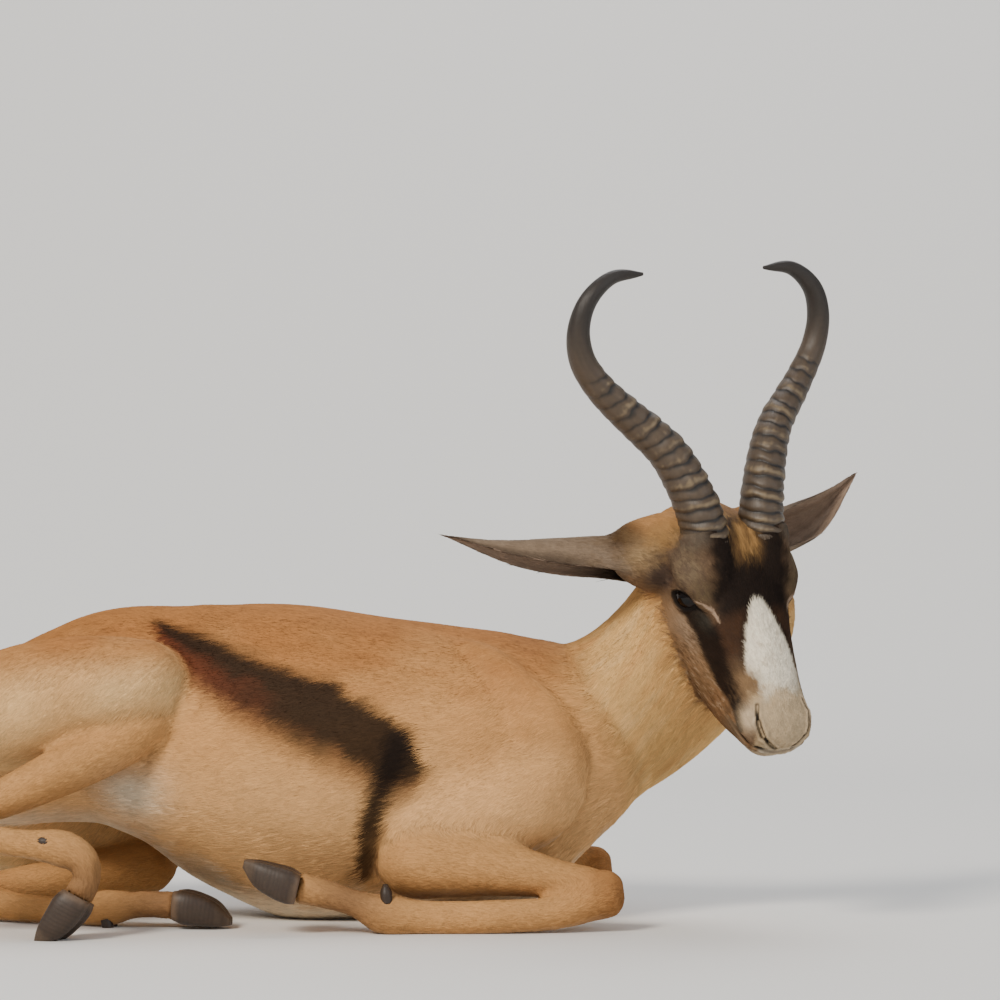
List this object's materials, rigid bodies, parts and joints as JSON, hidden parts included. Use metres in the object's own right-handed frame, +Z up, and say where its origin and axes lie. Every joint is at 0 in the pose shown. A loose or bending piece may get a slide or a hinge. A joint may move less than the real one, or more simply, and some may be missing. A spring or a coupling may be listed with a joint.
{
  "type": "springbok",
  "caption": "Life-size springbok ram lying on its chest with folded legs, the head raised and turned to its right, with lyre-shaped ringed horns.",
  "frame": {"origin": "on the floor, under the middle of the bounding box", "axes": "+X towards the head end along the trunk, +Y to the animal's left, +Z up from the floor it lies on"},
  "size_m": [0.9601, 0.4016, 0.6143],
  "materials": {
    "coat": "short smooth fur, golden tan",
    "face": "short fur, brown with a pale blaze",
    "ear": "short fur, grey-brown",
    "tail": "hair, pale stem with a dark brush",
    "horn": "ringed horn, satin",
    "hoof": "smooth hoof, worn satin",
    "eye": "wet and glossy"
  },
  "bodies": {
    "root": {"head": "face", "eye_left": "eye", "horn_left": "horn", "ear_left": "ear", "eye_right": "eye", "horn_right": "horn", "ear_right": "ear", "torso": "coat", "neck": "coat", "tail": "tail", "foreleg_right_forearm": "coat", "foreleg_right_cannon": "coat", "foreleg_right_hoof_outer": "hoof", "foreleg_right_hoof_inner": "hoof", "foreleg_left_forearm": "coat", "foreleg_left_cannon": "coat", "foreleg_left_hoof_outer": "hoof", "foreleg_left_hoof_inner": "hoof", "hindleg_right_thigh": "coat", "hindleg_right_shank": "coat", "hindleg_right_cannon": "coat", "hindleg_right_hoof_outer": "hoof", "hindleg_right_hoof_inner": "hoof", "hindleg_left_thigh": "coat", "hindleg_left_shank": "coat", "hindleg_left_cannon": "coat", "hindleg_left_hoof_outer": "hoof", "hindleg_left_hoof_inner": "hoof"}
  },
  "joints": []
}
